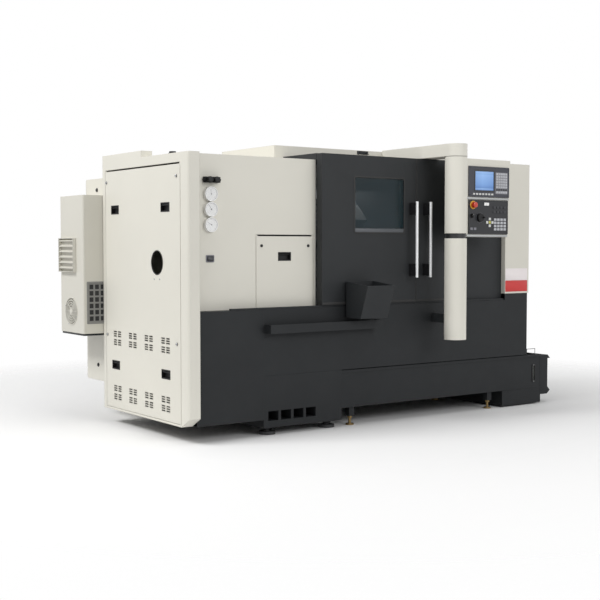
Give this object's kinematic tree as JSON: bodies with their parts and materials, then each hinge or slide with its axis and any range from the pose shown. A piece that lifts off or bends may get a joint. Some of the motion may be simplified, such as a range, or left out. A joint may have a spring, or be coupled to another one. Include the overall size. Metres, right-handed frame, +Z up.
{
  "type": "multitasking machining center",
  "caption": "Enclosed turning and milling machine with sliding doors, a swinging control box, opposed spindles, a tool turret, a coolant tank and a rear electrical cabinet.",
  "frame": {"origin": "floor point under the middle of the bounding box", "axes": "+X to the right along the spindle axis, +Y to the back, +Z up; the doors and the control face -Y"},
  "size_m": [3.468, 1.8682, 1.929],
  "materials": {
    "cream_paint": "semi-gloss powder coat",
    "charcoal_paint": "semi-gloss fine texture",
    "casting": "painted casting",
    "machined_steel": "ground",
    "stainless": "brushed sheet",
    "black_plastic": "fine grain",
    "light_plastic": "satin",
    "handle_metal": "satin anodised",
    "tinted_window": "tinted",
    "screen_blue": "glossy",
    "stop_red": "glossy",
    "foot_brass": "satin"
  },
  "bodies": {
    "machine": {"machine_base": "charcoal_paint", "levelling_feet": "machined_steel", "slant_bed": "casting", "guide_rails": "machined_steel", "headstock": "casting", "front_apron": "charcoal_paint", "lower_left_cover": "charcoal_paint", "parts_bin": "charcoal_paint", "front_left_cover": "cream_paint", "access_panel": "cream_paint", "panel_grips": "black_plastic", "panel_screws": "machined_steel", "pressure_gauges": "light_plastic", "regulator_body": "black_plastic", "end_cabinet": "cream_paint", "end_cover_panel": "cream_paint", "roof_cover": "cream_paint", "door_header": "charcoal_paint", "lower_door_rail": "charcoal_paint", "recessed_panel": "charcoal_paint", "right_cover": "cream_paint", "rear_cover": "cream_paint", "chamber_walls": "stainless", "electrical_cabinet": "cream_paint", "cooling_housing": "cream_paint", "cooling_hood": "cream_paint", "cooling_filter": "black_plastic", "fan_guard": "cream_paint", "overhead_arm": "cream_paint", "lower_column": "cream_paint", "column_bracket": "charcoal_paint"},
    "left_door": {"left_door_leaf": "charcoal_paint", "left_door_window": "tinted_window", "left_door_handle": "handle_metal", "left_handle_brackets": "black_plastic"},
    "right_door": {"right_door_leaf": "charcoal_paint", "right_door_handle": "handle_metal", "right_handle_brackets": "black_plastic"},
    "control": {"upper_column": "cream_paint", "control_box": "cream_paint", "display_unit": "black_plastic", "display_screen": "screen_blue", "panel_keys": "light_plastic", "operator_panel": "black_plastic"},
    "emergency_stop": {"estop_button": "stop_red"},
    "override": {"override_knob": "black_plastic"},
    "dial": {"hand_dial": "black_plastic"},
    "main_rotor": {"main_spindle": "machined_steel", "main_chuck": "machined_steel"},
    "sub_carriage": {"sub_headstock": "casting"},
    "sub_rotor": {"sub_spindle": "machined_steel"},
    "saddle": {"turret_saddle": "casting"},
    "cross_slide": {"turret_slide": "casting"},
    "turret": {"turret_disc": "machined_steel"},
    "tank": {"coolant_tank": "charcoal_paint", "tank_feet": "foot_brass"},
    "pressure_knob_left": {"regulator_knob_left": "black_plastic"},
    "pressure_knob_right": {"regulator_knob_right": "black_plastic"},
    "fan": {"cooling_fan": "black_plastic"},
    "cabinet_door": {"electrical_door": "cream_paint"}
  },
  "joints": [
    {"name": "left_door_slide", "type": "slide", "parent": "machine", "child": "left_door", "axis": [-1, 0, 0], "range_m": [0, 0.7]},
    {"name": "right_door_slide", "type": "slide", "parent": "machine", "child": "right_door", "axis": [1, 0, 0], "range_m": [0, 0.425]},
    {"name": "control_swing", "type": "hinge", "parent": "machine", "child": "control", "pos_m": [0.446, -0.85715, 1.57], "axis": [0, 0, -1], "range_deg": [0, 90]},
    {"name": "emergency_stop_press", "type": "slide", "parent": "control", "child": "emergency_stop", "axis": [0, 1, 0], "range_m": [0, 0.005], "stiffness_N_per_m": 600, "springref_m": -0.002},
    {"name": "override_turn", "type": "hinge", "parent": "control", "child": "override", "pos_m": [0.607, -0.84315, 1.438], "axis": [0, 1, 0], "range_deg": [-135, 135]},
    {"name": "dial_turn", "type": "hinge", "parent": "control", "child": "dial", "pos_m": [0.687, -0.84315, 1.426], "axis": [0, 1, 0], "continuous": true},
    {"name": "main_spindle_turn", "type": "hinge", "parent": "machine", "child": "main_rotor", "pos_m": [-0.759, -0.23915, 1.12], "axis": [1, 0, 0], "continuous": true},
    {"name": "sub_carriage_slide", "type": "slide", "parent": "machine", "child": "sub_carriage", "axis": [-1, 0, 0], "range_m": [0, 0.33]},
    {"name": "sub_spindle_turn", "type": "hinge", "parent": "sub_carriage", "child": "sub_rotor", "pos_m": [0.981, -0.23915, 1.12], "axis": [1, 0, 0], "continuous": true},
    {"name": "saddle_slide", "type": "slide", "parent": "machine", "child": "saddle", "axis": [-1, 0, 0], "range_m": [0, 0.3]},
    {"name": "cross_slide_feed", "type": "slide", "parent": "saddle", "child": "cross_slide", "axis": [0, -0.7071, -0.7071], "range_m": [0, 0.23]},
    {"name": "turret_index", "type": "hinge", "parent": "cross_slide", "child": "turret", "pos_m": [0.036, 0.05783, 1.41698], "axis": [1, 0, 0], "continuous": true},
    {"name": "tank_pull_out", "type": "slide", "parent": "machine", "child": "tank", "axis": [1, 0, 0], "range_m": [0, 1.1]},
    {"name": "pressure_knob_left_turn", "type": "hinge", "parent": "machine", "child": "pressure_knob_left", "pos_m": [-1.364, -0.56915, 1.638], "axis": [0, 1, 0], "range_deg": [-170, 170]},
    {"name": "pressure_knob_right_turn", "type": "hinge", "parent": "machine", "child": "pressure_knob_right", "pos_m": [-1.316, -0.56915, 1.638], "axis": [0, 1, 0], "range_deg": [-170, 170]},
    {"name": "fan_turn", "type": "hinge", "parent": "machine", "child": "fan", "pos_m": [-1.669, 0.74135, 0.769], "axis": [1, 0, 0], "continuous": true},
    {"name": "cabinet_door_swing", "type": "hinge", "parent": "machine", "child": "cabinet_door", "pos_m": [-0.597, 0.92385, 0.985], "axis": [0, 0, -1], "range_deg": [0, 110]}
  ]
}
